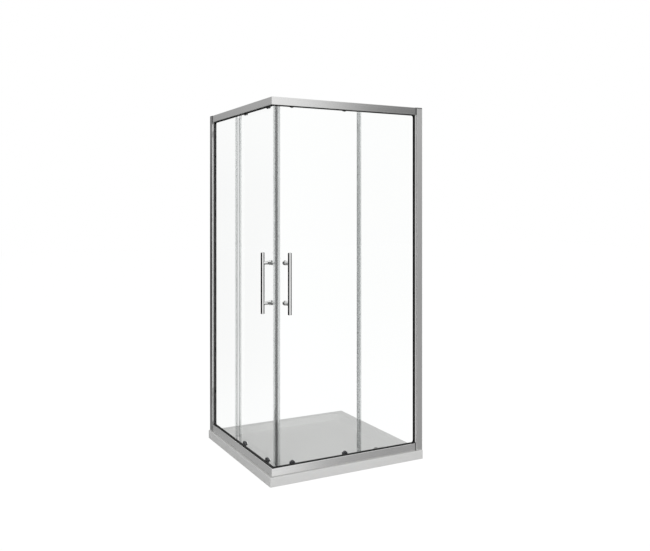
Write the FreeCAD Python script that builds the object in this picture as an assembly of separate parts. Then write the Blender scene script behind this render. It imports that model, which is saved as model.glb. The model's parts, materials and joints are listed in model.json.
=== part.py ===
import FreeCAD, Part
import math
import os

# Corner-entry shower enclosure: a low square tray, two fixed glass panels against the walls, and two sliding
# glass doors that meet at the open corner. Part frame: origin at the middle of the tray's underside, +Z up,
# walls at +X and +Y, entry corner at -X -Y. Millimetres.
#
# Each side of the enclosure is drawn once in its own side frame and then placed twice:
#   s  along the side, from the rails' outer corner (0) to the wall
#   u  inward, from the rails' outer face (0)
#   z  height above the floor
# The front side has s along +X and u along +Y. The left side is its mirror image.

# ------------------------------------------------------------------ driving sizes: tray and waste
TRAY_SIDE = 900.0
TRAY_HEIGHT = 45.0
TRAY_CORNER_R = 6.0
TRAY_EDGE_R = 3.0
TRAY_RIM = 45.0             # flat rim, from the tray's side to the recess
TRAY_SLOPE = 50.0           # width of the sloping side of the recess
TRAY_RECESS = 24.0          # depth of the recess
RECESS_CORNER_R = 70.0      # at the rim
FLOOR_CORNER_R = 48.0       # at the foot of the slope
RECESS_LIP_R = 8.0
RECESS_FOOT_R = 30.0
RIM_INSET = 12.0            # tray's side to the rails' outer face
WASTE_FROM_RIGHT = 155.0    # tray's right side to the middle of the waste
WASTE_FROM_FRONT = 172.0
DISH_R = 58.0               # shallow dish that leads the water to the waste
DISH_DEPTH = 1.5
WASTE_FLANGE_R = 50.0
WASTE_FLANGE_THICK = 2.5
WASTE_THROAT_R = 38.0
WASTE_WALL = 3.5
WASTE_CLEAR = 0.3           # waste body in the tray, and cover in the throat
WASTE_SOCKET_R = 39.5       # outlet socket for the trap, in the flange's lower end
WASTE_SOCKET = 10.0
COVER_R = 47.0
COVER_THICK = 2.0
COVER_CROWN = 3.0           # rise of the cover's top towards the middle
COVER_FLAT_R = 28.0
COVER_GAP = 3.5             # water way between flange and cover
COVER_LEG = 8.0             # how deep the cover's legs reach into the throat
COVER_LEG_WIDTH = 16.0
COVER_LEG_THICK = 3.0

# ------------------------------------------------------------------ driving sizes: frame
FRAME_HEIGHT = 1850.0       # tray rim to the top of the frame
RAIL_HEIGHT = 40.0
RAIL_WALL = 1.5
RAIL_CORNER_R = 2.0
RAIL_LIP = 3.0              # small return at the inner edge of the rail's cover flange
SLOT_DEPTH = 12.0           # glazing slot in rails and uprights
INNER_LEG = 3.5             # metal between glazing slot and track space
TRACK_LIP_HEIGHT = 3.0
TRACK_LIP_THICK = 2.0
PORT_R = 3.6                # screw ports inside the rails
PORT_SINK = 0.5             # how far the first port runs into the track shelf
PORT_GAP = 1.6              # slit along the port
PORT_SPARE = 0.5            # outer port's screw head to the channel cap
WEEP_WIDTH = 12.0           # drain notches in the bottom rail's return
WEEP_COUNT = 5
JOINER_LEG = 70.0
JOINER_CLEAR = 0.15
END_PLATE = 8.0             # plastic block between rail end and upright
CHANNEL_DEPTH = 34.0        # wall channel, wall to its open edge
CHANNEL_WALL = 2.2
CHANNEL_WEB = 2.0
CHANNEL_CLEAR = 0.3         # wall channel around the upright
UPRIGHT_SHOW = 3.0          # width of upright between end block and wall channel
UPRIGHT_BOX = 27.0
UPRIGHT_WIDTH = 24.0
UPRIGHT_ARM = 2.0           # glazing arms in front of the upright's box
UPRIGHT_CORNER_R = 4.0
UPRIGHT_EDGE_R = 1.0
CHANNEL_EDGE_R = 0.8
CAP_THICK = 6.0             # moulded cap on top of channel and upright
CAP_EDGE_R = 1.0
WALL_HOLES = 3
WALL_HOLE_SPACING = 750.0
WALL_HOLE_R = 2.75
ADJUST_SCREWS = 3
ADJUST_END = 150.0          # first adjusting screw from the channel's end
ADJUST_FROM_EDGE = 15.0     # adjusting screw from the channel's open edge
SCREW_R = 2.0
SCREW_CLEAR = 0.1
PORT_GRIP = 0.05            # screw in a rail's port
SCREW_HEAD_R = 3.5
SCREW_HEAD_THICK = 1.8
SCREW_REACH = 22.0          # thread engaged in a rail's port
ADJUST_REACH = 9.0
CAP_SKIN = 0.9              # plastic screw cap around the head
CAP_BEVEL = 0.5

# ------------------------------------------------------------------ driving sizes: glass and seals
GLASS = 6.0
FIXED_SETBACK = 10.5        # rail's outer face to the fixed glass
GASKET_SIDE = 1.5           # gasket each side of the fixed glass
GASKET_BED = 2.0            # gasket between glass edge and slot floor
GASKET_SHOW = 3.0           # gasket showing beyond a rail
GASKET_SHOW_UPRIGHT = 8.0
GASKET_CORNER_R = 10.0
DOOR_LEAD = 48.0            # leading edge of the door glass, door closed
DOOR_WIDTH = 461.0
DOOR_WALL_GAP = 29.0        # trailing edge of the door glass to the wall, door open
DOOR_OVERLAP = 8.0          # door glass behind fixed glass, door closed
DOOR_BOTTOM_GAP = 13.0      # tray rim to the door glass
DOOR_TOP_GAP = 5.0          # door glass to the top of the frame
SEAL_THICK = 1.5
SEAL_WEB = 2.0
SEAL_ARM = 10.0
DOOR_SEAL_ARM = 6.0
SEAL_EDGE_R = 0.7
SEAL_END_GAP = 1.0          # door seals end short of the glass
SEAL_FIN = 1.2
SEAL_FIN_ROOT = 0.5         # fin set into the seal's wall
SEAL_FIN_CLEAR = 0.3
FIN_ROLLER_CLEAR = 4.0      # fixed seal's fin above and below the passing rollers
DOOR_FIN = 2.5
MAGNET_SEAL_ARM = 12.0
MAGNET_SEAL_GAP = 0.1       # each magnetic face to the mitre plane
MAGNET_LENGTH = 8.2
MAGNET_THICK = 2.0
MAGNET_SKIN = 1.0
MAGNET_CLEAR = 0.1

# ------------------------------------------------------------------ driving sizes: rollers
WHEEL_R = 10.0
GROOVE_R = 8.0
WHEEL_WIDTH = 6.6
WHEEL_BORE_CLEAR = 0.05
GROOVE_CLEAR = 0.5          # groove beside the track lip
TRACK_CLEAR = 0.05          # wheel tread to track lip
WHEEL_SIDE_GAP = 2.2        # rail box to wheel
WHEEL_PLAY = 0.1            # along the axle, each side
AXLE_R = 2.5
AXLE_HEAD_R = 4.0
AXLE_HEAD_THICK = 0.9
AXLE_COLLAR = 0.6
AXLE_ROOT = 1.0             # axle set into its carrier
CARRIER = 4.4               # roller carrier between wheel collar and door glass
CARRIER_R = 12.5
ROLLER_INSET_LEAD = 77.0    # leading roller from the door's leading edge
ROLLER_INSET_TRAIL = 84.0
TOP_BOLT_RISE = 8.0         # glass bolt above the top rail's lower edge
BOTTOM_BOLT_HEIGHT = 40.0   # glass bolt above the tray rim
BOLT_R = 2.5
BOLT_CLEAR = 0.1
BUSH_R = 5.5                # plastic bush in the glass hole
BUSH_CLEAR = 0.4
BUSH_SHORT = 0.2            # bush ends below the glass face
BOLT_CAP_R = 10.0
BOLT_CAP_THICK = 6.0
BOLT_CAP_BEVEL = 1.5
BOLT_NUT_R = 5.0
BOLT_NUT_THICK = 1.5
BOLT_NUT_FIT = 0.05
ECCENTRIC = 1.0             # height adjuster cam on the top axle
CAM_R = 6.0
BODY_THICK = 10.5           # bottom roller body
BODY_R = 14.0
BODY_FOOT = 8.0             # straight part of the body, below the bolt
BODY_EDGE_R = 1.0
BODY_NOTCH = 7.2            # half width of the press tab's notch
BODY_NOTCH_RISE = 6.2       # notch floor above the bolt
RELEASE_TRAVEL = 3.3
RELEASE_SPARE = 0.2         # tab still clear of the body when pressed
SLIDER_THICK = 3.0
SLIDER_STEM = 5.0           # half width of the stem
SLIDER_PLATE = 7.0          # half width of the plate that holds the axle
SLIDER_CLEAR = 0.2
SLIDER_LAP = 0.5            # foot plate lapped by the stem
TAB_CLEAR = 0.25
TAB_PROUD = 1.0             # tab's round top above the body's
TAB_BACK = 0.3              # tab to the door glass
SPRING_R = 2.0              # mean radius
SPRING_WIRE = 0.7           # square wire
SPRING_TURNS = 3
SPRING_CLEAR = 0.25
SPRING_FLOOR = 3.2          # pocket floor above the bolt
STOP_LENGTH = 10.0
STOP_CLEAR = 0.5
STOP_SIDE_CLEAR = 0.1

# ------------------------------------------------------------------ driving sizes: handles
HANDLE_INSET = 45.0         # from the door's leading edge
HANDLE_HEIGHT = 935.0       # middle of the handle above the tray rim
HANDLE_LENGTH = 305.0
HANDLE_BAR_R = 9.5
HANDLE_BAR_BEVEL = 1.2
HANDLE_STANDOFF = 43.5      # bar centre to the door glass
POST_SPACING = 200.0
POST_R = 9.0
POST_SPIGOT_R = 5.5         # end that sits in the bar
POST_COLLAR_R = 11.5
POST_COLLAR_LENGTH = 7.0
POST_COLLAR_BEVEL = 1.0
POST_SEAT = 5.0             # how deep a post sits in the bar
POST_STUD_R = 4.0
POST_STUD_CLEAR = 0.4       # stud in the glass hole
KNOB_R = 12.0
KNOB_LENGTH = 13.0
KNOB_BEVEL = 2.0
KNOB_BORE = 8.0
KNOB_SPARE = 0.5            # stud's end to the bottom of the knob's bore
FIT = 0.05                  # posts and studs in their bores, caps on their screws

# ------------------------------------------------------------------ derived places, side frame
corner = TRAY_SIDE / 2 - RIM_INSET
side_length = TRAY_SIDE - RIM_INSET
rim = TRAY_HEIGHT
top = rim + FRAME_HEIGHT
lower_edge = rim + RAIL_HEIGHT          # glazing edge of the bottom rail
upper_edge = top - RAIL_HEIGHT          # glazing edge of the top rail

slot_outer = FIXED_SETBACK - GASKET_SIDE
slot_inner = FIXED_SETBACK + GLASS + GASKET_SIDE
glass_mid = FIXED_SETBACK + GLASS / 2
box_depth = slot_inner + INNER_LEG
wheel_near = box_depth + WHEEL_SIDE_GAP
wheel_mid = wheel_near + WHEEL_WIDTH / 2
wheel_far = wheel_near + WHEEL_WIDTH
track_near = wheel_mid - TRACK_LIP_THICK / 2
track_far = wheel_mid + TRACK_LIP_THICK / 2
carrier_near = wheel_far + WHEEL_PLAY + AXLE_COLLAR
door_near = carrier_near + CARRIER
door_far = door_near + GLASS
rail_depth = door_far + SEAL_THICK + RAIL_WALL
shelf = SLOT_DEPTH + RAIL_WALL          # track shelf, from a rail's glazing edge
track_top = shelf + TRACK_LIP_HEIGHT
axle_depth = track_top + TRACK_CLEAR + GROOVE_R

channel_edge = side_length - CHANNEL_DEPTH
upright_face = channel_edge - UPRIGHT_SHOW
rail_end = upright_face - END_PLATE
arm_tip = upright_face - UPRIGHT_ARM
upright_slot_end = arm_tip + SLOT_DEPTH
arm_outer = slot_outer - RAIL_WALL
arm_inner = slot_inner + RAIL_WALL
channel_outer = -CHANNEL_CLEAR - CHANNEL_WALL
channel_inner = UPRIGHT_WIDTH + CHANNEL_CLEAR + CHANNEL_WALL

door_trail = DOOR_LEAD + DOOR_WIDTH
door_travel = side_length - door_trail - DOOR_WALL_GAP
door_low = rim + DOOR_BOTTOM_GAP
door_high = top - DOOR_TOP_GAP
fixed_lead = door_trail - DOOR_OVERLAP
roller_places = {"lead": DOOR_LEAD + ROLLER_INSET_LEAD, "trail": door_trail - ROLLER_INSET_TRAIL}
top_bolt = upper_edge + TOP_BOLT_RISE
bottom_bolt = rim + BOTTOM_BOLT_HEIGHT
top_axle = upper_edge + axle_depth
bottom_axle = lower_edge - axle_depth
body_near = door_near - BODY_THICK
slider_near = carrier_near
slider_far = slider_near + SLIDER_THICK
notch_floor = bottom_bolt + BODY_NOTCH_RISE
tab_low = notch_floor + RELEASE_TRAVEL + RELEASE_SPARE
spring_low = bottom_bolt + SPRING_FLOOR
spring_mid = (body_near + slider_near) / 2

handle_s = DOOR_LEAD + HANDLE_INSET
bar_u = door_near - HANDLE_STANDOFF
handle_z = rim + HANDLE_HEIGHT
post_heights = (handle_z - POST_SPACING / 2, handle_z + POST_SPACING / 2)
post_start = bar_u + HANDLE_BAR_R - POST_SEAT

port_depths = (shelf + PORT_R - PORT_SINK, RAIL_HEIGHT - CAP_THICK - SCREW_HEAD_R - PORT_SPARE)
upright_top = top - CAP_THICK
adjust_s = channel_edge + ADJUST_FROM_EDGE
adjust_step = (upright_top - rim - 2 * ADJUST_END) / (ADJUST_SCREWS - 1)
adjust_heights = [rim + ADJUST_END + i * adjust_step for i in range(ADJUST_SCREWS)]
channel_mid = (rim + upright_top) / 2
hole_heights = [channel_mid + (i - (WALL_HOLES - 1) / 2) * WALL_HOLE_SPACING for i in range(WALL_HOLES)]
wall_hole_u = UPRIGHT_WIDTH / 2

waste_x = TRAY_SIDE / 2 - WASTE_FROM_RIGHT
waste_y = WASTE_FROM_FRONT - TRAY_SIDE / 2
tray_floor = TRAY_HEIGHT - TRAY_RECESS
dish_floor = tray_floor - DISH_DEPTH
waste_seat = dish_floor - WASTE_FLANGE_THICK
BEYOND = 5.0                            # how far a large cutting tool runs past what it cuts
PAST = 1.0                              # the same for a small one
TINY = 0.01                             # lengths below this count as none


def top_z(v):
    """Height of a point of the top rail, v from its glazing edge."""
    return upper_edge + v


def bottom_z(v):
    """The same for the bottom rail, which is the top rail turned over."""
    return lower_edge - v


# ------------------------------------------------------------------ drawing helpers
def point(axis, a, b, t):
    """The point at (a, b) in the plane across the axis, at t along it."""
    if axis == "s":
        return FreeCAD.Vector(t, a, b)
    if axis == "u":
        return FreeCAD.Vector(a, t, b)
    return FreeCAD.Vector(a, b, t)


def outline(axis, corners, t):
    """A closed wire through (a, b) or (a, b, radius) corners; a corner with a radius becomes an arc."""
    places = [point(axis, corner[0], corner[1], t) for corner in corners]
    starts, ends, edges = [], [], []
    for i, place in enumerate(places):
        radius = corners[i][2] if len(corners[i]) > 2 else 0.0
        if radius == 0.0:
            starts.append(place)
            ends.append(place)
            continue
        back = (places[i - 1] - place).normalize()
        ahead = (places[(i + 1) % len(places)] - place).normalize()
        half = back.getAngle(ahead) / 2
        cut = radius / math.tan(half)
        middle = (back + ahead).normalize() * (radius / math.sin(half) - radius)
        starts.append(place + back * cut)
        ends.append(place + ahead * cut)
        edges.append(Part.Arc(starts[-1], place + middle, ends[-1]).toShape())
    for i, end in enumerate(ends):
        start = starts[(i + 1) % len(starts)]
        if end.distanceToPoint(start) > 1e-6:
            edges.append(Part.LineSegment(end, start).toShape())
    return Part.Wire(Part.__sortEdges__(edges))


def prism(axis, corners, low, high, hole=None):
    """The outline, less an optional hole outline, carried along the axis from low to high."""
    wires = [outline(axis, corners, low)]
    if hole:
        wires.append(outline(axis, hole, low))
    face = Part.Face(wires, "Part::FaceMakerBullseye")
    return face.extrude(point(axis, 0, 0, high - low))


def box(s0, s1, u0, u1, z0, z1):
    return Part.makeBox(s1 - s0, u1 - u0, z1 - z0, FreeCAD.Vector(s0, u0, z0))


def rod(axis, a, b, radius, low, high):
    return Part.makeCylinder(radius, high - low, point(axis, a, b, low), point(axis, 0, 0, 1))


def turned(axis, a, b, profile):
    """A body of revolution about the axis through (a, b); the profile has (t, radius) corners."""
    if axis == "u":
        wire = outline("s", profile, 0)
        face = Part.Face(wire)
        solid = face.revolve(FreeCAD.Vector(0, 0, 0), FreeCAD.Vector(0, 1, 0), 360)
        return solid.translated(FreeCAD.Vector(a, 0, b))
    wire = outline("u", [(corner[1], corner[0]) + tuple(corner[2:]) for corner in profile], 0)
    face = Part.Face(wire)
    solid = face.revolve(FreeCAD.Vector(0, 0, 0), FreeCAD.Vector(0, 0, 1), 360)
    return solid.translated(FreeCAD.Vector(a, b, 0))


def fused(shapes):
    first, *others = shapes
    return first.fuse(others).removeSplitter() if others else first


def mitred(shape):
    """What lies on this side of the mitre plane s = u at the entry corner."""
    far = rail_depth + BEYOND
    wedge = [(-BEYOND, -BEYOND), (far, far), (-BEYOND, far)]
    return shape.cut(prism("z", wedge, rim - BEYOND, top + BEYOND))


def front(shape):
    return shape.translated(FreeCAD.Vector(-corner, -corner, 0))


def left(shape):
    mirrored = shape.mirror(FreeCAD.Vector(0, 0, 0), FreeCAD.Vector(1, -1, 0))
    return mirrored.translated(FreeCAD.Vector(-corner, -corner, 0))


SIDES = {"front": front, "left": left}
parts = {}


def keep(name, shapes):
    solids = [solid for shape in shapes for solid in shape.Solids]
    parts[name] = solids[0] if len(solids) == 1 else Part.makeCompound(solids)


def keep_each_side(name, shapes):
    for side, place in SIDES.items():
        keep(f"{name}_{side}", [place(shape) for shape in shapes])


# ------------------------------------------------------------------ tray and waste
def rounded_square(half, radius, z):
    corners = [(-half, -half, radius), (half, -half, radius), (half, half, radius), (-half, half, radius)]
    return outline("z", corners, z)


def flat_edges(shape, z, half):
    """Edges that lie at height z, inside a square of the given half side."""
    found = []
    for edge in shape.Edges:
        bounds = edge.BoundBox
        level = abs(bounds.ZMin - z) < TINY and abs(bounds.ZMax - z) < TINY
        if level and max(bounds.XMax, -bounds.XMin, bounds.YMax, -bounds.YMin) < half:
            found.append(edge)
    return found


def shower_tray():
    half = TRAY_SIDE / 2
    slab = Part.Face(rounded_square(half, TRAY_CORNER_R, 0)).extrude(FreeCAD.Vector(0, 0, TRAY_HEIGHT))
    slab = slab.makeFillet(TRAY_EDGE_R, flat_edges(slab, TRAY_HEIGHT, half + PAST))
    mouth = rounded_square(half - TRAY_RIM, RECESS_CORNER_R, TRAY_HEIGHT)
    floor = rounded_square(half - TRAY_RIM - TRAY_SLOPE, FLOOR_CORNER_R, tray_floor)
    tray = slab.cut(Part.makeLoft([floor, mouth], True, True))
    tray = tray.makeFillet(RECESS_LIP_R, flat_edges(tray, TRAY_HEIGHT, half - TRAY_RIM + PAST))
    tray = tray.makeFillet(RECESS_FOOT_R, flat_edges(tray, tray_floor, half))
    dish_place = FreeCAD.Vector(waste_x, waste_y, dish_floor)
    dish = Part.makeCone(WASTE_FLANGE_R + WASTE_CLEAR, DISH_R, DISH_DEPTH, dish_place)
    seat = rod("z", waste_x, waste_y, WASTE_FLANGE_R + WASTE_CLEAR, waste_seat, dish_floor)
    hole = rod("z", waste_x, waste_y, WASTE_THROAT_R + WASTE_WALL + WASTE_CLEAR, -BEYOND, waste_seat)
    return tray.cut(dish).cut(seat).cut(hole)


def waste_flange():
    outside = WASTE_THROAT_R + WASTE_WALL
    profile = [(0, WASTE_SOCKET_R), (WASTE_SOCKET, WASTE_SOCKET_R), (WASTE_SOCKET, WASTE_THROAT_R),
               (dish_floor, WASTE_THROAT_R), (dish_floor, WASTE_FLANGE_R), (waste_seat, WASTE_FLANGE_R),
               (waste_seat, outside), (0, outside)]
    return turned("z", waste_x, waste_y, profile)


def waste_cover():
    """Lid over the waste, slightly raised in the middle, with four legs that centre it in the throat."""
    low = dish_floor + COVER_GAP
    high = low + COVER_THICK
    profile = [(low, 0), (low, COVER_R), (high, COVER_R), (high + COVER_CROWN, COVER_FLAT_R),
               (high + COVER_CROWN, 0)]
    plate = turned("z", waste_x, waste_y, profile)
    leg_r = WASTE_THROAT_R - WASTE_CLEAR
    legs = rod("z", waste_x, waste_y, leg_r, dish_floor - COVER_LEG, low)
    legs = legs.fuse(rod("z", waste_x, waste_y, leg_r + COVER_LEG_THICK, dish_floor, low))
    leg_low = dish_floor - COVER_LEG
    legs = legs.cut(rod("z", waste_x, waste_y, leg_r - COVER_LEG_THICK, leg_low - PAST, low))
    half = COVER_LEG_WIDTH / 2
    across = box(waste_x - COVER_R, waste_x + COVER_R, waste_y - half, waste_y + half, 0, low)
    along = box(waste_x - half, waste_x + half, waste_y - COVER_R, waste_y + COVER_R, 0, low)
    return fused([plate, legs.common(across.fuse(along))])


# ------------------------------------------------------------------ rails
def rail_corners(z_at):
    """The rail's outside: box with glazing slot, track shelf with its lip, and cover flange."""
    far = RAIL_HEIGHT
    lip_r = TRACK_LIP_THICK / 2
    corners = [
        (0, 0, RAIL_CORNER_R), (0, far, RAIL_CORNER_R),
        (rail_depth, far), (rail_depth, far - RAIL_WALL - RAIL_LIP),
        (rail_depth - RAIL_WALL, far - RAIL_WALL - RAIL_LIP), (rail_depth - RAIL_WALL, far - RAIL_WALL),
        (box_depth, far - RAIL_WALL), (box_depth, shelf), (track_near, shelf), (track_near, track_top, lip_r),
        (track_far, track_top, lip_r), (track_far, SLOT_DEPTH), (box_depth, SLOT_DEPTH), (box_depth, 0),
        (slot_inner, 0), (slot_inner, SLOT_DEPTH), (slot_outer, SLOT_DEPTH), (slot_outer, 0),
    ]
    return [(c[0], z_at(c[1])) + tuple(c[2:]) for c in corners]


def rail_cavity(z_at):
    """The closed chamber: the box and the hollow outer leg of the glazing slot."""
    far = RAIL_HEIGHT - RAIL_WALL
    leg = slot_outer - RAIL_WALL
    corners = [(RAIL_WALL, RAIL_WALL + RAIL_CORNER_R), (leg, RAIL_WALL + RAIL_CORNER_R), (leg, shelf),
               (box_depth - RAIL_WALL, shelf), (box_depth - RAIL_WALL, far), (RAIL_WALL, far)]
    return [(u, z_at(v)) for u, v in corners]


def port_bore(z):
    """Bore of a screw port, with the slit that opens it on its inner side like a C."""
    bore = rod("s", glass_mid, z, SCREW_R + PORT_GRIP, -PAST, rail_end + PAST)
    slit = box(-PAST, rail_end + PAST, glass_mid, glass_mid + PORT_R + PAST,
               z - PORT_GAP / 2, z + PORT_GAP / 2)
    return bore.fuse(slit)


def rail(z_at):
    body = prism("s", rail_corners(z_at), 0, rail_end, rail_cavity(z_at))
    rings = [rod("s", glass_mid, z_at(v), PORT_R, 0, rail_end) for v in port_depths]
    ends = sorted([z_at(port_depths[1] + SCREW_R + PORT_GRIP), z_at(RAIL_HEIGHT - RAIL_WALL)])
    web = box(0, rail_end, glass_mid - RAIL_WALL / 2, glass_mid + RAIL_WALL / 2, *ends)
    body = body.fuse(rings + [web]).cut([port_bore(z_at(v)) for v in port_depths])
    return mitred(body)


def bottom_rail():
    """The same profile turned over, with drain notches in its return."""
    body = rail(bottom_z)
    step = (rail_end - rail_depth) / WEEP_COUNT
    near = rail_depth - RAIL_WALL - PAST
    low = rim + RAIL_WALL
    notches = []
    for i in range(WEEP_COUNT):
        s = rail_depth + (i + 0.5) * step
        notches.append(box(s - WEEP_WIDTH / 2, s + WEEP_WIDTH / 2, near, rail_depth + PAST,
                           low, low + RAIL_LIP + PAST))
    return body.cut(notches)


def corner_joiner(z_at):
    """The angle that slides into both mitred chambers, between their screw ports."""
    near = RAIL_WALL + JOINER_CLEAR
    far = box_depth - RAIL_WALL - JOINER_CLEAR
    ends = [z_at(port_depths[0] + PORT_R + JOINER_CLEAR), z_at(port_depths[1] - PORT_R - JOINER_CLEAR)]
    corners = [(near, near), (JOINER_LEG, near), (JOINER_LEG, far), (far, far), (far, JOINER_LEG),
               (near, JOINER_LEG)]
    return prism("z", corners, min(ends), max(ends))


def rail_end_plate(z_at):
    """Plastic block between rail and upright, with the rail box's own outline."""
    corners = [(0, 0, RAIL_CORNER_R), (0, RAIL_HEIGHT, RAIL_CORNER_R), (box_depth, RAIL_HEIGHT),
               (box_depth, 0), (slot_inner, 0), (slot_inner, SLOT_DEPTH), (slot_outer, SLOT_DEPTH),
               (slot_outer, 0)]
    plate = prism("s", [(c[0], z_at(c[1])) + tuple(c[2:]) for c in corners], rail_end, upright_face)
    holes = [rod("s", glass_mid, z_at(v), SCREW_R + SCREW_CLEAR, rail_end - PAST, upright_face + PAST)
             for v in port_depths]
    return plate.cut(holes)


def frame_screw(z_at, v):
    """Pan-head screw from inside the upright into a rail's port."""
    seat = upright_slot_end + RAIL_WALL
    shank = rod("s", glass_mid, z_at(v), SCREW_R, rail_end - SCREW_REACH, seat)
    head = rod("s", glass_mid, z_at(v), SCREW_HEAD_R, seat, seat + SCREW_HEAD_THICK)
    return fused([shank, head])


# ------------------------------------------------------------------ uprights and wall channels
def upright():
    """The adjusting profile: a chamber inside the wall channel, round a glazing slot with two short arms."""
    back = upright_face + UPRIGHT_BOX
    wall = RAIL_WALL
    corners = [(arm_tip, arm_outer), (upright_face, arm_outer), (upright_face, 0, UPRIGHT_EDGE_R),
               (back, 0, UPRIGHT_EDGE_R), (back, UPRIGHT_WIDTH, UPRIGHT_EDGE_R),
               (upright_face, UPRIGHT_WIDTH, UPRIGHT_CORNER_R), (upright_face, arm_inner),
               (arm_tip, arm_inner), (arm_tip, slot_inner), (upright_slot_end, slot_inner),
               (upright_slot_end, slot_outer), (arm_tip, slot_outer)]
    near = upright_face + wall
    deep = upright_slot_end + wall
    far = UPRIGHT_WIDTH - wall
    cavity = [(near, wall), (back - wall, wall), (back - wall, far), (near, far, UPRIGHT_CORNER_R - wall),
              (near, arm_inner), (deep, arm_inner), (deep, arm_outer), (near, arm_outer)]
    body = prism("z", corners, rim, upright_top, cavity)
    tools = []
    for z0, z1 in ((rim - PAST, lower_edge), (upper_edge, top)):
        tools.append(box(arm_tip - PAST, upright_face, -PAST, UPRIGHT_WIDTH + PAST, z0, z1))
    for z_at in (top_z, bottom_z):
        for v in port_depths:
            tools.append(rod("s", glass_mid, z_at(v), SCREW_R + SCREW_CLEAR,
                             upright_face - PAST, deep + PAST))
    for z in adjust_heights:
        tools.append(rod("u", adjust_s, z, SCREW_R + SCREW_CLEAR, UPRIGHT_WIDTH - wall - PAST,
                         UPRIGHT_WIDTH + PAST))
    return body.cut(tools)


def wall_channel():
    web = side_length - CHANNEL_WEB
    corners = [(channel_edge, channel_outer, CHANNEL_EDGE_R), (side_length, channel_outer),
               (side_length, channel_inner), (channel_edge, channel_inner, CHANNEL_EDGE_R),
               (channel_edge, UPRIGHT_WIDTH + CHANNEL_CLEAR), (web, UPRIGHT_WIDTH + CHANNEL_CLEAR),
               (web, -CHANNEL_CLEAR), (channel_edge, -CHANNEL_CLEAR)]
    body = prism("z", corners, rim, upright_top)
    tools = [rod("s", wall_hole_u, z, WALL_HOLE_R, web - PAST, side_length + PAST) for z in hole_heights]
    tools += [rod("u", adjust_s, z, SCREW_R + SCREW_CLEAR, UPRIGHT_WIDTH, channel_inner + PAST)
              for z in adjust_heights]
    return body.cut(tools)


def channel_cap():
    """Moulded cap: a lid on channel and upright, and a cheek that covers the upright beside the top rail."""
    corners = [(upright_face, channel_outer), (side_length, channel_outer), (side_length, channel_inner),
               (upright_face, channel_inner)]
    lid = prism("z", corners, upright_top, top)
    edges = [e for e in lid.Edges if e.BoundBox.ZMin > top - TINY and e.BoundBox.XMin < side_length - TINY]
    lid = lid.makeFillet(CAP_EDGE_R, edges)
    cheek = box(upright_face, channel_edge, channel_outer, 0, upper_edge, upright_top)
    return fused([lid, cheek])


def adjusting_screw(z):
    shank = rod("u", adjust_s, z, SCREW_R, channel_inner - ADJUST_REACH, channel_inner)
    head = rod("u", adjust_s, z, SCREW_HEAD_R, channel_inner, channel_inner + SCREW_HEAD_THICK)
    return fused([shank, head])


def screw_cap(z):
    inside_r = SCREW_HEAD_R + FIT
    inside = channel_inner + SCREW_HEAD_THICK + FIT
    outside = inside + CAP_SKIN
    outside_r = inside_r + CAP_SKIN
    profile = [(channel_inner, inside_r), (channel_inner, outside_r), (outside - CAP_BEVEL, outside_r),
               (outside, outside_r - CAP_BEVEL), (outside, 0), (inside, 0), (inside, inside_r)]
    return turned("u", adjust_s, z, profile)


# ------------------------------------------------------------------ fixed glass and its seals
fixed_low = lower_edge - SLOT_DEPTH + GASKET_BED
fixed_high = upper_edge + SLOT_DEPTH - GASKET_BED
fixed_end = upright_slot_end - GASKET_BED


def fixed_glass():
    return box(fixed_lead, fixed_end, FIXED_SETBACK, FIXED_SETBACK + GLASS, fixed_low, fixed_high)


def glazing_gasket():
    """Black gasket in the slots of both rails and the upright, with a lip that shows all round."""
    low = lower_edge - SLOT_DEPTH
    high = upper_edge + SLOT_DEPTH
    inside = box(-PAST, arm_tip, slot_outer - PAST, slot_inner + PAST, lower_edge, upper_edge)
    filling = box(0, upright_slot_end, slot_outer, slot_inner, low, high).cut(inside)
    band = box(0, arm_tip, arm_outer, arm_inner, lower_edge, upper_edge)
    edge = arm_tip - GASKET_SHOW_UPRIGHT
    view = [(-PAST, lower_edge + GASKET_SHOW), (edge, lower_edge + GASKET_SHOW, GASKET_CORNER_R),
            (edge, upper_edge - GASKET_SHOW, GASKET_CORNER_R), (-PAST, upper_edge - GASKET_SHOW)]
    lip = band.cut(prism("u", view, arm_outer - PAST, arm_inner + PAST))
    return mitred(fused([filling, lip])).cut(fixed_glass())


def edge_seal_corners(edge, inward, near, arm):
    """U-shaped clip on a glass edge; inward is +1 where the glass lies towards larger s."""
    back = edge - inward * SEAL_WEB
    tip = edge + inward * arm
    far = near + GLASS
    return [(back, near - SEAL_THICK, SEAL_EDGE_R), (back, far + SEAL_THICK, SEAL_EDGE_R),
            (tip, far + SEAL_THICK), (tip, far), (edge, far), (edge, near), (tip, near),
            (tip, near - SEAL_THICK)]


def fixed_edge_seal():
    """Clip on the fixed glass, with a fin towards the door glass that ends clear of the rollers."""
    low = lower_edge + GASKET_SHOW
    high = upper_edge - GASKET_SHOW
    clip = prism("z", edge_seal_corners(fixed_lead, 1, FIXED_SETBACK, SEAL_ARM), low, high)
    start = fixed_lead - SEAL_WEB + SEAL_EDGE_R
    root = FIXED_SETBACK + GLASS + SEAL_THICK - SEAL_FIN_ROOT
    fin = box(start, start + SEAL_FIN, root, door_near - SEAL_FIN_CLEAR,
              bottom_bolt + BODY_R + FIN_ROLLER_CLEAR, top_bolt - CARRIER_R - FIN_ROLLER_CLEAR)
    return fused([clip, fin])


# ------------------------------------------------------------------ door glass and its seals
def door_glass():
    glass = box(DOOR_LEAD, door_trail, door_near, door_far, door_low, door_high)
    holes = []
    for s in roller_places.values():
        for z in (bottom_bolt, top_bolt):
            holes.append(rod("u", s, z, BUSH_R + BUSH_CLEAR, door_near - PAST, door_far + PAST))
    for z in post_heights:
        holes.append(rod("u", handle_s, z, POST_STUD_R + POST_STUD_CLEAR, door_near - PAST, door_far + PAST))
    return glass.cut(holes)


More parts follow.
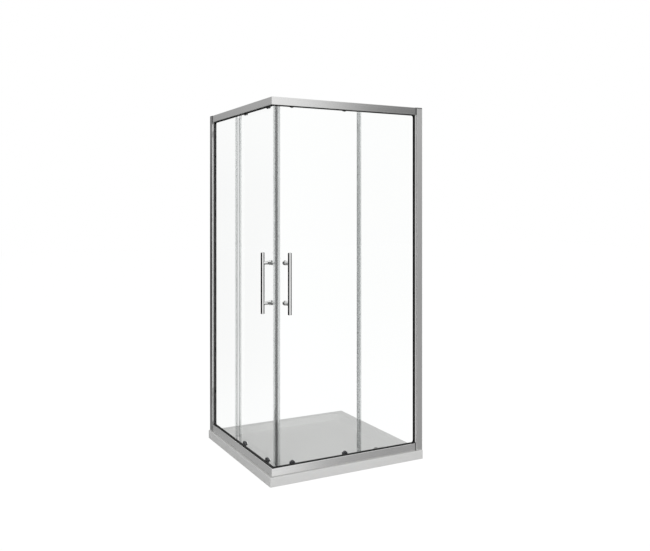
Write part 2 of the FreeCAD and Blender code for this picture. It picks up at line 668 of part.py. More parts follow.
def door_edge_seal():
    """Clip on the door's trailing edge, with a short fin towards the fixed glass."""
    low = door_low + SEAL_END_GAP
    high = door_high - SEAL_END_GAP
    clip = prism("z", edge_seal_corners(door_trail, -1, door_near, DOOR_SEAL_ARM), low, high)
    tip = door_trail - DOOR_SEAL_ARM
    root = door_near - SEAL_THICK
    fin = box(tip, tip + SEAL_FIN, root - DOOR_FIN, root + SEAL_FIN_ROOT, low, high)
    return fused([clip, fin])


def mitre_point(along, off):
    """A point given along the mitre plane and square off it, towards this side."""
    root_half = math.sqrt(0.5)
    return ((along + off) * root_half, (along - off) * root_half)


def magnet_places():
    """Along the mitre: both ends of the slanted head, which is as wide as the clip."""
    start = (DOOR_LEAD + door_near - SEAL_THICK) * math.sqrt(0.5)
    return start, start + (GLASS + 2 * SEAL_THICK) * math.sqrt(2.0)


def magnet_corners(spare):
    """The magnet's section in the head, grown by the given clearance."""
    middle = sum(magnet_places()) / 2
    reach = MAGNET_LENGTH / 2 + spare
    skin = MAGNET_SEAL_GAP + MAGNET_SKIN
    offs = (skin - spare, skin + MAGNET_THICK + spare)
    return [mitre_point(middle - reach, offs[0]), mitre_point(middle + reach, offs[0]),
            mitre_point(middle + reach, offs[1]), mitre_point(middle - reach, offs[1])]


def magnet_seal():
    """Clip on the leading edge with a slanted head that faces the other door across the mitre plane."""
    near = door_near - SEAL_THICK
    far = door_far + SEAL_THICK
    tip = DOOR_LEAD + MAGNET_SEAL_ARM
    start, end = magnet_places()
    corners = [(tip, near), (DOOR_LEAD, near), mitre_point(start, MAGNET_SEAL_GAP),
               mitre_point(end, MAGNET_SEAL_GAP), (DOOR_LEAD + far - near, far), (tip, far), (tip, door_far),
               (DOOR_LEAD, door_far), (DOOR_LEAD, door_near), (tip, door_near)]
    pocket = magnet_corners(MAGNET_CLEAR)
    return prism("z", corners, door_low + SEAL_END_GAP, door_high - SEAL_END_GAP, pocket)


def magnet_strip():
    return prism("z", magnet_corners(0), door_low + 2 * SEAL_END_GAP, door_high - 2 * SEAL_END_GAP)


# ------------------------------------------------------------------ rollers
def wheel(s, z):
    """Grooved wheel that runs on a track lip."""
    bore = AXLE_R + WHEEL_BORE_CLEAR
    floor = TRACK_LIP_THICK / 2 + GROOVE_CLEAR
    profile = [(wheel_near, bore), (wheel_near, WHEEL_R), (wheel_mid - floor, GROOVE_R),
               (wheel_mid + floor, GROOVE_R), (wheel_far, WHEEL_R), (wheel_far, bore)]
    return turned("u", s, z, profile)


def axle(s, z):
    """Axle with a retaining head on the rail side and a collar on the carrier side."""
    head = wheel_near - WHEEL_PLAY
    collar = wheel_far + WHEEL_PLAY
    profile = [(head - AXLE_HEAD_THICK, 0), (head - AXLE_HEAD_THICK, AXLE_HEAD_R), (head, AXLE_HEAD_R),
               (head, AXLE_R), (collar, AXLE_R), (collar, AXLE_HEAD_R),
               (carrier_near + AXLE_ROOT, AXLE_HEAD_R), (carrier_near + AXLE_ROOT, 0)]
    return turned("u", s, z, profile)


def glass_bush(s, z):
    return rod("u", s, z, BUSH_R, door_near, door_far - BUSH_SHORT)


def bolt_bore(s, z, near):
    return rod("u", s, z, BOLT_R + BOLT_CLEAR, near - PAST, door_far)


def top_hanger(s):
    """Carrier plate at the top of the door, with the wheel's axle and its height cam."""
    low = top_bolt - CARRIER_R
    high = top_axle - ECCENTRIC + CARRIER_R
    corners = [(s - CARRIER_R, low, CARRIER_R), (s + CARRIER_R, low, CARRIER_R),
               (s + CARRIER_R, high, CARRIER_R), (s - CARRIER_R, high, CARRIER_R)]
    plate = prism("u", corners, carrier_near, door_near)
    cam = rod("u", s, top_axle - ECCENTRIC, CAM_R, wheel_far + WHEEL_PLAY, carrier_near)
    body = fused([plate, cam, axle(s, top_axle), glass_bush(s, top_bolt)])
    return body.cut(bolt_bore(s, top_bolt, carrier_near))


def bottom_body(s):
    """Body of a sprung bottom roller, with the slider's way, the spring pocket and the tab's notch."""
    low = bottom_bolt - BODY_FOOT
    high = bottom_bolt + BODY_R
    shape = [(s - BODY_R, low, BODY_EDGE_R), (s + BODY_R, low, BODY_EDGE_R),
             (s + BODY_R, high, BODY_R), (s - BODY_R, high, BODY_R)]
    body = fused([prism("u", shape, body_near, door_near), glass_bush(s, bottom_bolt)])
    half = SLIDER_STEM + SLIDER_CLEAR
    way = box(s - half, s + half, slider_near - SLIDER_CLEAR, slider_far + SLIDER_CLEAR,
              low - PAST, high + PAST)
    notch = box(s - BODY_NOTCH, s + BODY_NOTCH, body_near - PAST, door_near, notch_floor, high + PAST)
    pocket_r = SPRING_R + SPRING_WIRE / 2 + SPRING_CLEAR
    pocket = rod("z", s, spring_mid, pocket_r, spring_low, high + PAST)
    return body.cut([way, notch, pocket, bolt_bore(s, bottom_bolt, body_near)])


def release_slider(s):
    """Slider with the press tab on top and the bottom wheel's axle at its foot."""
    low = bottom_bolt - BODY_FOOT - RELEASE_SPARE
    end = bottom_axle - SLIDER_PLATE
    plate = [(s - SLIDER_PLATE, low), (s + SLIDER_PLATE, low), (s + SLIDER_PLATE, end, SLIDER_PLATE),
             (s - SLIDER_PLATE, end, SLIDER_PLATE)]
    foot = prism("u", plate, slider_near, slider_far)
    stem = box(s - SLIDER_STEM, s + SLIDER_STEM, slider_near, slider_far,
               low - SLIDER_LAP, tab_low + SLIDER_LAP)
    tab_half = BODY_NOTCH - TAB_CLEAR
    tab_far = door_near - TAB_BACK
    tab_high = bottom_bolt + BODY_R + TAB_PROUD
    dome = rod("u", s, bottom_bolt, BODY_R + TAB_PROUD, body_near, tab_far)
    tab = dome.common(box(s - tab_half, s + tab_half, body_near, tab_far, tab_low, tab_high))
    gap = BOLT_R + RELEASE_SPARE
    window = box(s - gap, s + gap, slider_near - PAST, slider_far + PAST,
                 bottom_bolt - gap, bottom_bolt + gap + RELEASE_TRAVEL)
    return fused([foot, stem, tab, axle(s, bottom_axle)]).cut(window)


def release_spring(s):
    """Small compression spring under the press tab."""
    half = SPRING_WIRE / 2
    height = tab_low - spring_low - SPRING_WIRE
    path = Part.makeHelix(height / SPRING_TURNS, height, SPRING_R)
    section = outline("u", [(SPRING_R - half, -half), (SPRING_R + half, -half), (SPRING_R + half, half),
                            (SPRING_R - half, half)], 0)
    coil = Part.Wire(path.Edges).makePipeShell([section], True, True)
    return coil.translated(FreeCAD.Vector(s, spring_mid, spring_low + half))


def glass_bolt(s, z, near):
    """Round cap on the inside of the door with its bolt, and the nut disc on the outer face."""
    start = near - BOLT_NUT_THICK
    end = door_far + BOLT_CAP_THICK
    cap = [(start, 0), (start, BOLT_R), (door_far, BOLT_R), (door_far, BOLT_CAP_R),
           (end - BOLT_CAP_BEVEL, BOLT_CAP_R), (end, BOLT_CAP_R - BOLT_CAP_BEVEL), (end, 0)]
    nut_bore = BOLT_R + BOLT_NUT_FIT
    nut = [(start, nut_bore), (start, BOLT_NUT_R), (near, BOLT_NUT_R), (near, nut_bore)]
    return [turned("u", s, z, cap), turned("u", s, z, nut)]


def door_stop(s):
    """Rubber buffer on the top rail's track."""
    low = upper_edge + shelf
    return box(s, s + STOP_LENGTH, box_depth, track_near - STOP_SIDE_CLEAR, low, low + 2 * TRACK_LIP_HEIGHT)


# ------------------------------------------------------------------ handles
def handle_bar():
    low = handle_z - HANDLE_LENGTH / 2
    high = low + HANDLE_LENGTH
    end_r = HANDLE_BAR_R - HANDLE_BAR_BEVEL
    profile = [(low, 0), (low, end_r), (low + HANDLE_BAR_BEVEL, HANDLE_BAR_R),
               (high - HANDLE_BAR_BEVEL, HANDLE_BAR_R), (high, end_r), (high, 0)]
    bar = turned("z", handle_s, bar_u, profile)
    seat_end = bar_u + HANDLE_BAR_R + PAST
    return bar.cut([rod("u", handle_s, z, POST_SPIGOT_R + FIT, post_start, seat_end) for z in post_heights])


def handle_post(z):
    """Post cut to the bar's curve, with a spigot in the bar, a collar on the glass and a stud through it."""
    collar = door_near - POST_COLLAR_LENGTH
    stud_end = door_far + KNOB_BORE - KNOB_SPARE
    profile = [(bar_u, 0), (bar_u, POST_R), (collar, POST_R),
               (collar, POST_COLLAR_R - POST_COLLAR_BEVEL), (collar + POST_COLLAR_BEVEL, POST_COLLAR_R),
               (door_near, POST_COLLAR_R), (door_near, POST_STUD_R), (stud_end, POST_STUD_R), (stud_end, 0)]
    post = turned("u", handle_s, z, profile)
    post = post.cut(rod("z", handle_s, bar_u, HANDLE_BAR_R, z - POST_R - PAST, z + POST_R + PAST))
    return post.fuse(rod("u", handle_s, z, POST_SPIGOT_R, post_start, collar)).removeSplitter()


def handle_knob(z):
    bore = POST_STUD_R + FIT
    end = door_far + KNOB_LENGTH
    profile = [(door_far, bore), (door_far, KNOB_R), (end - KNOB_BEVEL, KNOB_R), (end, KNOB_R - KNOB_BEVEL),
               (end, 0), (door_far + KNOB_BORE, 0), (door_far + KNOB_BORE, bore)]
    return turned("u", handle_s, z, profile)


# ------------------------------------------------------------------ the whole enclosure
def both_sides(shapes):
    return [place(shape) for place in SIDES.values() for shape in shapes]


keep("shower_tray", [shower_tray()])
keep("waste_flange", [waste_flange()])
keep("waste_cover", [waste_cover()])

keep_each_side("top_rail", [rail(top_z)])
keep_each_side("bottom_rail", [bottom_rail()])
keep_each_side("upright", [upright()])
keep_each_side("wall_channel", [wall_channel()])
keep("corner_joiners", [front(corner_joiner(z_at)) for z_at in (top_z, bottom_z)])
keep("rail_end_plates", both_sides([rail_end_plate(z_at) for z_at in (top_z, bottom_z)]))
keep("channel_caps", both_sides([channel_cap()]))
keep("frame_screws", both_sides([frame_screw(z_at, v) for z_at in (top_z, bottom_z) for v in port_depths]))
keep("adjusting_screws", both_sides([adjusting_screw(z) for z in adjust_heights]))
keep("screw_caps", both_sides([screw_cap(z) for z in adjust_heights]))

keep_each_side("fixed_glass", [fixed_glass()])
keep_each_side("glazing_gasket", [glazing_gasket()])
keep_each_side("fixed_edge_seal", [fixed_edge_seal()])
stop_places = (roller_places["lead"] - WHEEL_R - STOP_CLEAR - STOP_LENGTH,
               roller_places["trail"] + door_travel + WHEEL_R + STOP_CLEAR)
keep("door_stops", both_sides([door_stop(s) for s in stop_places]))

keep_each_side("door_glass", [door_glass()])
keep_each_side("magnet_seal", [magnet_seal()])
keep_each_side("magnet_strip", [magnet_strip()])
keep_each_side("door_edge_seal", [door_edge_seal()])
keep_each_side("handle_bar", [handle_bar()])
keep_each_side("handle_posts", [handle_post(z) for z in post_heights])
keep_each_side("handle_knobs", [handle_knob(z) for z in post_heights])
keep_each_side("top_hangers", [top_hanger(s) for s in roller_places.values()])
keep_each_side("bottom_roller_bodies", [bottom_body(s) for s in roller_places.values()])
keep_each_side("roller_bolts", [shape for s in roller_places.values()
                                for shape in glass_bolt(s, top_bolt, carrier_near)
                                + glass_bolt(s, bottom_bolt, body_near)])
for end, s in roller_places.items():
    for side, place in SIDES.items():
        keep(f"top_wheel_{side}_{end}", [place(wheel(s, top_axle))])
        keep(f"bottom_wheel_{side}_{end}", [place(wheel(s, bottom_axle))])
        keep(f"release_slider_{side}_{end}", [place(release_slider(s))])
        keep(f"release_spring_{side}_{end}", [place(release_spring(s))])

os.makedirs("parts", exist_ok=True)
for name, shape in parts.items():
    shape.exportStep(f"parts/{name}.step")
print(len(parts), "nodes,", sum(len(shape.Solids) for shape in parts.values()), "solids")
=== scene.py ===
import json
import math

import bpy
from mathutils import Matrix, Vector

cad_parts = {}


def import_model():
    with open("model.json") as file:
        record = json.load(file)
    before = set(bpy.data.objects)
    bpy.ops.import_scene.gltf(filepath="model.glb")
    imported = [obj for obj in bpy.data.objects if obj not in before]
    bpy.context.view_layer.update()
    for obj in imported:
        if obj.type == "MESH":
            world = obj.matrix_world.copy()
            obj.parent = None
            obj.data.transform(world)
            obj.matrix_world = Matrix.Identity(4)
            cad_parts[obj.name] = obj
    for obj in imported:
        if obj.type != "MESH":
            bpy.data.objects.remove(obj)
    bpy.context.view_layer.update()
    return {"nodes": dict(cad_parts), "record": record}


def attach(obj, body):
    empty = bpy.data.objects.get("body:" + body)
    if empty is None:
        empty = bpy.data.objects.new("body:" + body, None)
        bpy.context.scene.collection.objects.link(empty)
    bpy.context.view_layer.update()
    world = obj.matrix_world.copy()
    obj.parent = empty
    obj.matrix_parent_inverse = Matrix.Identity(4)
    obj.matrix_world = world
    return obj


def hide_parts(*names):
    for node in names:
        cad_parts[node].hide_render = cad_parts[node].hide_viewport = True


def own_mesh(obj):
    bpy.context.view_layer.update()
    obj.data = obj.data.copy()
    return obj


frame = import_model()
nodes = frame["nodes"]
slot_of = {part["node"]: part["material_slot"] for part in frame["record"]["subparts"]}
SIDES = ("front", "left")

# ------------------------------------------------------------------ camera, solved from the photograph
PHOTO_WIDTH = 650
PHOTO_HEIGHT = 551
FOCAL_PX = 743.56
HORIZON_PX = 209.42                     # the eye level's row in the photograph
CAMERA_PLACE = (-1.9105, -3.7435, 1.3456)
CAMERA_YAW = math.radians(28.1083)      # looks level, this far to the right of +Y
SENSOR_MM = 36.0

# ------------------------------------------------------------------ light
AMBIENT = 0.62                          # world light on dull surfaces
FLOOR_SIZE = 40.0
FLOOR_WHITE = 1.03                      # a little over 1, which makes up for the greyer share below
FLOOR_GLOW = 0.94                       # share of the floor that is plain white; the rest takes the shadow
FLOOR_REFLECTS = 0.9                    # what that rest reflects
LAMPS = [
    # name, place, point it is aimed at, side of the square in metres, watts
    ("key", (-2.2, -4.2, 3.4), (0, 0, 0.6), 2.6, 95.0),
    ("fill", (3.8, -2.2, 2.6), (0, 0, 0.8), 3.0, 35.0),
    ("top", (0.3, 0.3, 4.4), (0, 0, 0), 2.4, 26.0),
]

# The studio that bright metal and glass mirror. Greys are display greys. Compass angles run from +X
# towards +Y, heights are above the horizon, both in degrees.
STUDIO_LEVELS = [(-90, 110), (-28, 90), (-10, 118), (10, 130), (26, 240), (90, 250)]    # height, grey
PANEL_FEATHER = 4.0                     # the panels' edges fade over this much to each side
PANELS = [
    # grey, middle and half width round the compass, lowest and highest
    (255, -98, 37, -24, 45),            # large window in front
    (45, -12, 30, -40, 2),              # dark wall to the right of it
    (225, -27, 18, 5, 30),              # its pale upper part
    (170, -54, 8, -24, -12),            # floor bounce between window and wall
    (15, 172, 52, -40, 26),             # dark doorway behind the camera's left
    (40, 92, 27, -14, 4),               # dark wall on the left, behind the enclosure
    (186, 114, 7, 5, 14),               # its lighter top
    (182, 114, 7, -30, -14),            # and the floor in front of it
]

# ------------------------------------------------------------------ finishes
NOISE_LOW = 0.3                         # nearly all of a noise texture's values lie between these two
NOISE_HIGH = 0.7
DRAW_LINES = 900.0                      # noise scale across an extrusion's draw lines
DRAW_LENGTH = 0.6                       # and along them
DRAW_RELIEF = 0.00002                   # their height in metres
DRAW_STRENGTH = 0.1
POCKET_REACH = 0.0030                   # the magnets' black pocket, from x = y to each side along X
POCKET_FADE = 1.1                       # its colour has gone at this many times the reach
GLASS_IOR = 1.45
GLASS_TINT = (0.994, 0.998, 0.996, 1)
GLASS_WAVE = 0.0004                     # height of the pane's slow waves, in metres
COATING = 0.35                          # an easy-clean coating leaves this share of the glass's reflection
PVC_IOR = 1.2                           # low, so that the seals stay pale from the side
PVC_LENGTHWISE = (700, 700, 3)          # stretch of the noise that makes streaks along a seal
PVC_CLOUDS = (60, 60, 2)                # and of the slow change in its grey
BLACK = (0.01, 0.01, 0.01, 1)


# ------------------------------------------------------------------ material helpers
class Nodes:
    """Short calls to add and join the nodes of a material or the world."""

    def __init__(self, owner):
        owner.use_nodes = True
        self.tree = owner.node_tree
        self.tree.nodes.clear()

    def add(self, kind, **values):
        node = self.tree.nodes.new(kind)
        for socket, value in values.items():
            node.inputs[socket.replace("_", " ")].default_value = value
        return node

    def join(self, source, out, target, socket):
        self.tree.links.new(source.outputs[out], target.inputs[socket])

    def combine(self, operation, first, second):
        """A math node on two values, each a number or a (node, output) pair."""
        node = self.add("ShaderNodeMath")
        node.operation = operation
        for i, value in enumerate((first, second)):
            if isinstance(value, tuple):
                self.join(*value, node, i)
            else:
                node.inputs[i].default_value = value
        return node, "Value"


class Shader(Nodes):
    """A material with one Principled BSDF and short calls for what feeds it."""

    def __init__(self, name, **values):
        self.material = bpy.data.materials.new(name)
        super().__init__(self.material)
        self.output = self.add("ShaderNodeOutputMaterial")
        self.bsdf = self.add("ShaderNodeBsdfPrincipled", **values)
        self.join(self.bsdf, "BSDF", self.output, "Surface")

    def place(self, scale=(1, 1, 1)):
        """Object coordinates, in metres, stretched by the scale."""
        coordinates = self.add("ShaderNodeTexCoord")
        mapping = self.add("ShaderNodeMapping", Scale=scale)
        self.join(coordinates, "Object", mapping, "Vector")
        return mapping

    def noise(self, scale, stretch=(1, 1, 1), detail=3.0):
        noise = self.add("ShaderNodeTexNoise", Scale=scale, Detail=detail)
        self.join(self.place(stretch), "Vector", noise, "Vector")
        return noise

    def spread(self, texture, low, high, socket):
        """The texture's values, carried to low..high, feed a socket of the surface."""
        ranged = self.add("ShaderNodeMapRange", From_Min=NOISE_LOW, From_Max=NOISE_HIGH,
                          To_Min=low, To_Max=high)
        self.join(texture, "Fac", ranged, "Value")
        self.join(ranged, "Result", self.bsdf, socket)

    def tint(self, texture, dark, light):
        """Two colours, mixed by the texture, as the surface's colour. Gives the node that mixes them."""
        mix = self.add("ShaderNodeMix")
        mix.data_type = "RGBA"
        mix.inputs["A"].default_value = (*dark, 1)
        mix.inputs["B"].default_value = (*light, 1)
        ranged = self.add("ShaderNodeMapRange", From_Min=NOISE_LOW, From_Max=NOISE_HIGH)
        self.join(texture, "Fac", ranged, "Value")
        self.join(ranged, "Result", mix, "Factor")
        self.join(mix, "Result", self.bsdf, "Base Color")
        return mix

    def bump(self, texture, height, strength=1.0):
        """Surface relief of the given height in metres."""
        bump = self.add("ShaderNodeBump", Strength=strength, Distance=height)
        self.join(texture, "Fac", bump, "Height")
        self.join(bump, "Normal", self.bsdf, "Normal")


def polished_profile(name, axis, colour=(0.80, 0.80, 0.795), low=0.10, high=0.18):
    """Bright extrusion: faint draw lines along its length, in its roughness and its relief."""
    shader = Shader(name, Metallic=1.0)
    lines = tuple(DRAW_LENGTH if letter == axis else DRAW_LINES for letter in "XYZ")
    shader.tint(shader.noise(3.0), [c * 0.96 for c in colour], colour)
    shader.spread(shader.noise(1.0, lines, 4.0), low, high, "Roughness")
    shader.bump(shader.noise(1.0, lines, 2.0), DRAW_RELIEF, DRAW_STRENGTH)
    return shader.material


def plated_chrome():
    """Mirror-bright plating with a slow change in polish."""
    shader = Shader("plated_chrome", Metallic=1.0)
    shader.tint(shader.noise(14.0), (0.83, 0.83, 0.825), (0.88, 0.88, 0.875))
    shader.spread(shader.noise(35.0), 0.03, 0.09, "Roughness")
    return shader.material


def tray_acrylic():
    """Satin sanitary acrylic, very nearly one colour."""
    shader = Shader("tray_acrylic", Specular_IOR_Level=0.4)
    shader.tint(shader.noise(2.0), (0.612, 0.612, 0.606), (0.622, 0.622, 0.616))
    shader.spread(shader.noise(12.0), 0.34, 0.38, "Roughness")
    return shader.material


def clear_glass():
    """Toughened float glass: a clear, faintly green film that mirrors more towards grazing sight."""
    shader = Shader("clear_glass", Metallic=1.0, Roughness=0.02)
    shader.tint(shader.noise(2.0), (0.95, 0.97, 0.96), (0.97, 0.98, 0.975))
    shader.bump(shader.noise(6.0, (1, 1, 0.3), 1.0), GLASS_WAVE, 0.02)
    fresnel = shader.add("ShaderNodeFresnel", IOR=GLASS_IOR)
    side = shader.add("ShaderNodeNewGeometry")
    path = shader.add("ShaderNodeLightPath")
    outer = shader.combine("SUBTRACT", 1.0, (side, "Backfacing"))
    lit = shader.combine("SUBTRACT", 1.0, (path, "Is Shadow Ray"))
    mirrored = shader.combine("MULTIPLY", (fresnel, "Fac"), shader.combine("MULTIPLY", outer, lit))
    clear = shader.add("ShaderNodeBsdfTransparent", Color=GLASS_TINT)
    mix = shader.add("ShaderNodeMixShader")
    shader.join(*shader.combine("MULTIPLY", mirrored, COATING), mix, 0)
    shader.join(clear, "BSDF", mix, 1)
    shader.join(shader.bsdf, "BSDF", mix, 2)
    shader.join(mix, "Shader", shader.output, "Surface")
    return shader.material


def seal_pvc(name):
    """Clear extruded PVC, a little grey, with streaks along it. Gives the shader and its colour's node."""
    shader = Shader(name, Transmission_Weight=1.0, IOR=PVC_IOR)
    shader.spread(shader.noise(1.0, PVC_LENGTHWISE), 0.02, 0.06, "Roughness")
    tint = shader.tint(shader.noise(1.0, PVC_CLOUDS), (0.66, 0.67, 0.67), (0.76, 0.77, 0.77))
    return shader, tint


def edge_seal():
    shader, _ = seal_pvc("seal_pvc")
    return shader.material


def magnet_seal():
    """The same PVC, with the black pocket that holds the magnet along the mitre between the doors."""
    shader, tint = seal_pvc("magnet_seal")
    split = shader.add("ShaderNodeSeparateXYZ")
    shader.join(shader.add("ShaderNodeTexCoord"), "Object", split, "Vector")
    off = shader.combine("ABSOLUTE", shader.combine("SUBTRACT", (split, "X"), (split, "Y")), 0.0)
    clear = shader.add("ShaderNodeMapRange", From_Min=POCKET_REACH, From_Max=POCKET_REACH * POCKET_FADE)
    shader.join(*off, clear, "Value")
    mix = shader.add("ShaderNodeMix")
    mix.data_type = "RGBA"
    mix.inputs["A"].default_value = BLACK
    shader.join(clear, "Result", mix, "Factor")
    shader.join(tint, "Result", mix, "B")
    shader.join(mix, "Result", shader.bsdf, "Base Color")
    return shader.material


def dull(name, dark, light, rough=(0.5, 0.7), grain=500.0, relief=0.00008):
    """Rubber and moulded plastic: fine grain and a slight change of shade."""
    shader = Shader(name)
    shader.tint(shader.noise(9.0), dark, light)
    shader.spread(shader.noise(70.0), *rough, "Roughness")
    shader.bump(shader.noise(grain), relief, 0.4)
    return shader.material


def plain_steel(name, colour):
    """Bare steel wire and screws, of uneven polish."""
    shader = Shader(name, Metallic=1.0)
    shader.tint(shader.noise(40.0), [c * 0.9 for c in colour], colour)
    shader.spread(shader.noise(1.0, (90, 90, 900)), 0.2, 0.36, "Roughness")
    return shader.material


# ------------------------------------------------------------------ materials on the construction
def dress():
    """Gives every CAD node the finish of its slot; profiles have one for each direction."""
    along = {
        "X": polished_profile("frame_profile_x", "X"),
        "Y": polished_profile("frame_profile_y", "Y"),
        # The uprights' copy of the profile is painted brighter than the rails' (0.88 against 0.80): a
        # painted highlight on the same extrusion.
        "Z": polished_profile("frame_profile_z_painted_bright", "Z", (0.88, 0.88, 0.875), 0.04, 0.09),
        "wall": polished_profile("frame_profile_wall", "Z", low=0.30, high=0.38),
    }
    by_slot = {
        "tray_acrylic": tray_acrylic(),
        "chrome": plated_chrome(),
        "joiner_aluminium": polished_profile("joiner_aluminium", "X", (0.66, 0.67, 0.69), 0.25, 0.4),
        "cap_plastic": dull("cap_plastic", (0.10, 0.10, 0.10), (0.13, 0.13, 0.13), (0.3, 0.45)),
        "screw_steel": plain_steel("screw_steel", (0.60, 0.60, 0.61)),
        "clear_glass": clear_glass(),
        "gasket_rubber": dull("gasket_rubber", (0.005, 0.005, 0.005), (0.009, 0.009, 0.009), (0.6, 0.8)),
        "seal_pvc": edge_seal(),
        "magnet_rubber": dull("magnet_rubber", (0.01, 0.01, 0.01), (0.015, 0.015, 0.015)),
        "roller_housing": dull("roller_housing", (0.045, 0.046, 0.05), (0.07, 0.072, 0.078), (0.3, 0.45)),
        "wheel_nylon": dull("wheel_nylon", (0.72, 0.72, 0.70), (0.80, 0.80, 0.78), (0.35, 0.5)),
        "spring_steel": plain_steel("spring_steel", (0.55, 0.55, 0.56)),
    }
    magnets = magnet_seal()
    for name, thing in nodes.items():
        slot = slot_of[name]
        if slot == "frame_profile":
            if name.startswith("wall_channel"):
                material = along["wall"]
            elif name.startswith("upright"):
                # the uprights take the copy painted brighter, a painted highlight
                material = along["Z"]
            else:
                material = along["X" if name.endswith("front") else "Y"]
        elif name.startswith("magnet_seal"):
            material = magnets
        else:
            material = by_slot[slot]
        thing.data.materials.clear()
        thing.data.materials.append(material)


def springs():
    """The four release springs, each a copy with a mesh of its own, carried by its door in place of the
    rigid part.
    """
    for side in SIDES:
        for end in ("lead", "trail"):
            name = f"release_spring_{side}_{end}"
            rigid = nodes[name]
            spring = bpy.data.objects.new(f"sprung_{side}_{end}", rigid.data.copy())
            bpy.context.scene.collection.objects.link(spring)
            spring.matrix_world = rigid.matrix_world.copy()
            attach(spring, f"door_{side}")
            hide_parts(name)
            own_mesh(spring)


# ------------------------------------------------------------------ floor, studio and light
def floor():
    """Pale floor that is white to the camera and keeps part of the object's shadow."""
    bpy.ops.mesh.primitive_plane_add(size=FLOOR_SIZE, location=(0, 0, 0))
    plane = bpy.context.object
    plane.name = "studio_floor"
    material = bpy.data.materials.new("studio_floor")
    tree = Nodes(material)
    path = tree.add("ShaderNodeLightPath")
    seen = tree.combine("MAXIMUM", (path, "Is Camera Ray"), (path, "Is Transmission Ray"))
    mix = tree.add("ShaderNodeMixShader")
    tree.join(*tree.combine("MULTIPLY", seen, FLOOR_GLOW), mix, 0)
    tree.join(tree.add("ShaderNodeBsdfDiffuse", Color=(*[FLOOR_REFLECTS] * 3, 1)), "BSDF", mix, 1)
    tree.join(tree.add("ShaderNodeEmission", Strength=FLOOR_WHITE), "Emission", mix, 2)
    tree.join(mix, "Shader", tree.add("ShaderNodeOutputMaterial"), "Surface")
    plane.data.materials.append(material)
    plane.visible_glossy = False


def linear(grey):
    """Linear light of a display grey from 0 to 255."""
    share = grey / 255
    return share / 12.92 if share <= 0.04045 else ((share + 0.055) / 1.055) ** 2.4


def light_of(grey):
    """A display grey as a colour for the world."""
    return (*[linear(grey)] * 3, 1)


def height_share(tree, height, low, high):
    """Rises smoothly from 0 to 1 as the direction climbs from low to high, or falls where low is above."""
    share = tree.add("ShaderNodeMapRange", From_Min=math.sin(math.radians(low)),
                     From_Max=math.sin(math.radians(high)))
    share.interpolation_type = "SMOOTHSTEP"
    tree.join(height, "Z", share, "Value")
    return share, "Result"


def studio_colour(tree):
    """The studio by direction: a level for each height, with soft-edged panels over it."""
    direction = tree.add("ShaderNodeTexCoord")
    height = tree.add("ShaderNodeSeparateXYZ")
    tree.join(direction, "Generated", height, "Vector")
    level = tree.add("ShaderNodeVectorMath")
    level.operation = "MULTIPLY"
    level.inputs[1].default_value = (1, 1, 0)
    tree.join(direction, "Generated", level, 0)
    compass = tree.add("ShaderNodeVectorMath")
    compass.operation = "NORMALIZE"
    tree.join(level, "Vector", compass, 0)

    low, grey = STUDIO_LEVELS[0]
    colour = None
    for high, next_grey in STUDIO_LEVELS[1:]:
        mix = tree.add("ShaderNodeMix")
        mix.data_type = "RGBA"
        mix.inputs["A"].default_value = light_of(grey)
        mix.inputs["B"].default_value = light_of(next_grey)
        if colour:
            tree.join(*colour, mix, "A")
        tree.join(*height_share(tree, height, low, high), mix, "Factor")
        colour = (mix, "Result")
        low, grey = high, next_grey

    for grey, middle, half, low, high in PANELS:
        toward = tree.add("ShaderNodeVectorMath")
        toward.operation = "DOT_PRODUCT"
        toward.inputs[1].default_value = (math.cos(math.radians(middle)), math.sin(math.radians(middle)), 0)
        tree.join(compass, "Vector", toward, 0)
        across = tree.add("ShaderNodeMapRange", From_Min=math.cos(math.radians(half + PANEL_FEATHER)),
                          From_Max=math.cos(math.radians(max(half - PANEL_FEATHER, 0))))
        across.interpolation_type = "SMOOTHSTEP"
        tree.join(toward, "Value", across, "Value")
        above = height_share(tree, height, low - PANEL_FEATHER, low + PANEL_FEATHER)
        below = height_share(tree, height, high + PANEL_FEATHER, high - PANEL_FEATHER)
        inside = tree.combine("MULTIPLY", (across, "Result"), tree.combine("MULTIPLY", above, below))
        mix = tree.add("ShaderNodeMix")
        mix.data_type = "RGBA"
        tree.join(*inside, mix, "Factor")
        tree.join(*colour, mix, "A")
        mix.inputs["B"].default_value = light_of(grey)
        colour = (mix, "Result")
    return colour


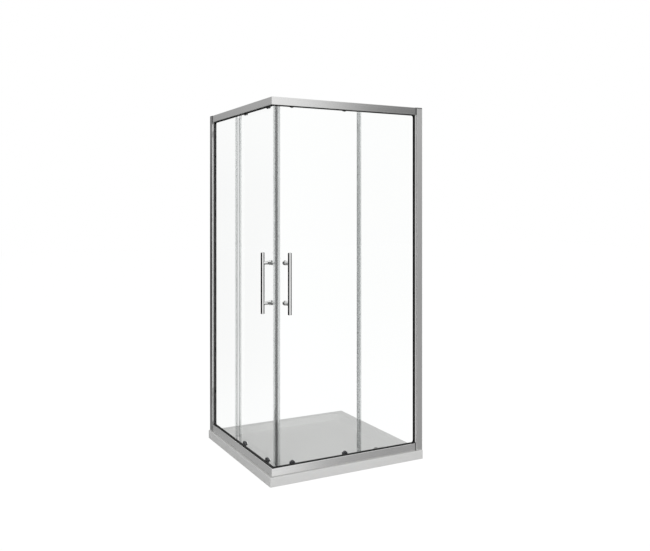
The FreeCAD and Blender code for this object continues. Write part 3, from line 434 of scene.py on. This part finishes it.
def world():
    """White to the camera and through glass, the studio in reflections, a plain level on dull surfaces."""
    studio = bpy.data.worlds.new("studio")
    bpy.context.scene.world = studio
    tree = Nodes(studio)
    path = tree.add("ShaderNodeLightPath")
    seen = tree.combine("MAXIMUM", (path, "Is Camera Ray"), (path, "Is Transmission Ray"))
    level = tree.add("ShaderNodeMapRange", To_Min=AMBIENT, To_Max=1.0)
    tree.join(*seen, level, "Value")
    plain = tree.add("ShaderNodeBackground", Color=(1, 1, 1, 1))
    tree.join(level, "Result", plain, "Strength")
    mirrored = tree.add("ShaderNodeBackground")
    tree.join(*studio_colour(tree), mirrored, "Color")
    mix = tree.add("ShaderNodeMixShader")
    tree.join(*tree.combine("SUBTRACT", (path, "Is Glossy Ray"), (path, "Is Transmission Ray")), mix, 0)
    tree.join(plain, "Background", mix, 1)
    tree.join(mirrored, "Background", mix, 2)
    tree.join(mix, "Shader", tree.add("ShaderNodeOutputWorld"), "Surface")


def lamp(name, place, aim, size, power):
    """Soft square lamp aimed at a point. Metal mirrors the studio instead, and the seals don't show it."""
    data = bpy.data.lights.new(name, "AREA")
    data.size = size
    data.energy = power
    light = bpy.data.objects.new(name, data)
    bpy.context.scene.collection.objects.link(light)
    light.location = place
    light.rotation_euler = (Vector(aim) - Vector(place)).to_track_quat("-Z", "Y").to_euler()
    light.visible_glossy = False
    light.visible_transmission = False


def camera():
    """A level camera; the shift brings its eye level to the photograph's row."""
    data = bpy.data.cameras.new("camera")
    data.sensor_width = SENSOR_MM
    data.lens = SENSOR_MM * FOCAL_PX / PHOTO_WIDTH
    data.shift_y = (HORIZON_PX - PHOTO_HEIGHT / 2) / PHOTO_WIDTH
    view = bpy.data.objects.new("camera", data)
    bpy.context.scene.collection.objects.link(view)
    view.location = CAMERA_PLACE
    view.rotation_euler = (math.radians(90), 0, -CAMERA_YAW)
    bpy.context.scene.camera = view


dress()
springs()
floor()
world()
for row in LAMPS:
    lamp(*row)
camera()
bpy.context.scene.view_settings.view_transform = "Standard"
